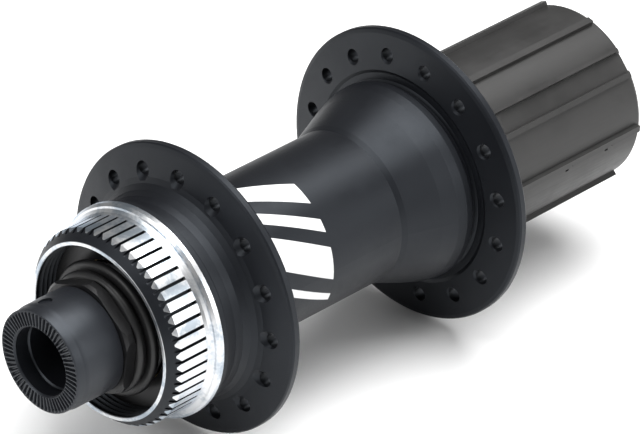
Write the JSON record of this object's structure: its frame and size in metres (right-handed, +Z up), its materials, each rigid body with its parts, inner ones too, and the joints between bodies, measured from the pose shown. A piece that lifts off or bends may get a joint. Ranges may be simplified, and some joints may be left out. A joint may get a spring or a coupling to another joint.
{
  "type": "bicycle rear hub",
  "caption": "Rear bicycle hub with a splined brake-rotor mount, two spoke flanges, a splined freewheel body and a hollow through-axle.",
  "frame": {"origin": "on the hub's axis, halfway between the two end caps' outer faces", "axes": "+Y along the hub's axis towards the sprocket side, -Y towards the brake-rotor side, +Z up, +X to the rear of the bicycle"},
  "size_m": [0.0553, 0.135, 0.0552],
  "materials": {
    "black_anodised": "satin black anodised",
    "cap_black": "satin black",
    "bare_aluminium": "turned",
    "freehub_steel": "dark phosphated satin",
    "dark_steel": "blackened",
    "ground_steel": "ground and polished",
    "washer_steel": "satin",
    "seal_rubber": "matt",
    "cage_brass": "stamped"
  },
  "bodies": {
    "axle": {"axle_tube": "cap_black", "disc_end_cap": "cap_black", "drive_end_cap": "cap_black", "disc_cap_o_ring": "seal_rubber", "drive_cap_o_ring": "seal_rubber", "disc_lock_nut": "dark_steel", "drive_lock_nut": "dark_steel", "disc_spacer": "dark_steel", "disc_seal_lip": "seal_rubber", "disc_cone_cover": "seal_rubber", "drive_cone_cover": "seal_rubber", "disc_cone": "ground_steel", "drive_cone": "ground_steel"},
    "hub_shell": {"shell": "black_anodised", "disc_dust_cap": "dark_steel", "disc_cup": "ground_steel", "drive_cup": "ground_steel", "fixing_bolt": "dark_steel", "freehub_washer": "washer_steel", "freehub_core": "dark_steel", "freehub_cone_ring": "ground_steel", "freehub_shims": "washer_steel", "pawl_springs": "washer_steel"},
    "disc_ball_set": {"disc_balls": "ground_steel", "disc_ball_cage": "cage_brass"},
    "drive_ball_set": {"drive_balls": "ground_steel", "drive_ball_cage": "cage_brass"},
    "freehub": {"freehub_body": "freehub_steel", "freehub_inner_seal": "seal_rubber", "freehub_outer_seal": "seal_rubber"},
    "freehub_inner_row": {"freehub_inner_balls": "ground_steel"},
    "freehub_outer_row": {"freehub_outer_balls": "ground_steel"},
    "front_pawl": {"pawl_front": "dark_steel"},
    "rear_pawl": {"pawl_rear": "dark_steel"}
  },
  "joints": [
    {"name": "hub_spin", "type": "hinge", "parent": "axle", "child": "hub_shell", "pos_m": [0, 0, 0], "axis": [0, -1, 0], "continuous": true},
    {"name": "freehub_spin", "type": "hinge", "parent": "hub_shell", "child": "freehub", "pos_m": [0, 0.0435, 0], "axis": [0, -1, 0], "continuous": true},
    {"name": "disc_bearing_roll", "type": "hinge", "parent": "axle", "child": "disc_ball_set", "pos_m": [0, -0.045, 0], "axis": [0, -1, 0], "continuous": true},
    {"name": "drive_bearing_roll", "type": "hinge", "parent": "axle", "child": "drive_ball_set", "pos_m": [0, 0.0541, 0], "axis": [0, -1, 0], "continuous": true},
    {"name": "freehub_inner_roll", "type": "hinge", "parent": "hub_shell", "child": "freehub_inner_row", "pos_m": [0, 0.0305, 0], "axis": [0, -1, 0], "continuous": true},
    {"name": "freehub_outer_roll", "type": "hinge", "parent": "hub_shell", "child": "freehub_outer_row", "pos_m": [0, 0.046, 0], "axis": [0, -1, 0], "continuous": true},
    {"name": "front_pawl_tilt", "type": "hinge", "parent": "hub_shell", "child": "front_pawl", "pos_m": [0, 0.0395, -0.0112], "axis": [0, -1, 0], "range_deg": [0, 11.5]},
    {"name": "rear_pawl_tilt", "type": "hinge", "parent": "hub_shell", "child": "rear_pawl", "pos_m": [0, 0.0395, 0.0112], "axis": [0, -1, 0], "range_deg": [0, 11.5]}
  ],
  "couplings": [
    {"joint": "disc_bearing_roll", "follows": "hub_spin", "ratio": 0.566},
    {"joint": "drive_bearing_roll", "follows": "hub_spin", "ratio": 0.566},
    {"joint": "freehub_inner_roll", "follows": "freehub_spin", "ratio": 0.5435},
    {"joint": "freehub_outer_roll", "follows": "freehub_spin", "ratio": 0.5435},
    {"joint": "rear_pawl_tilt", "follows": "front_pawl_tilt", "ratio": 1}
  ]
}
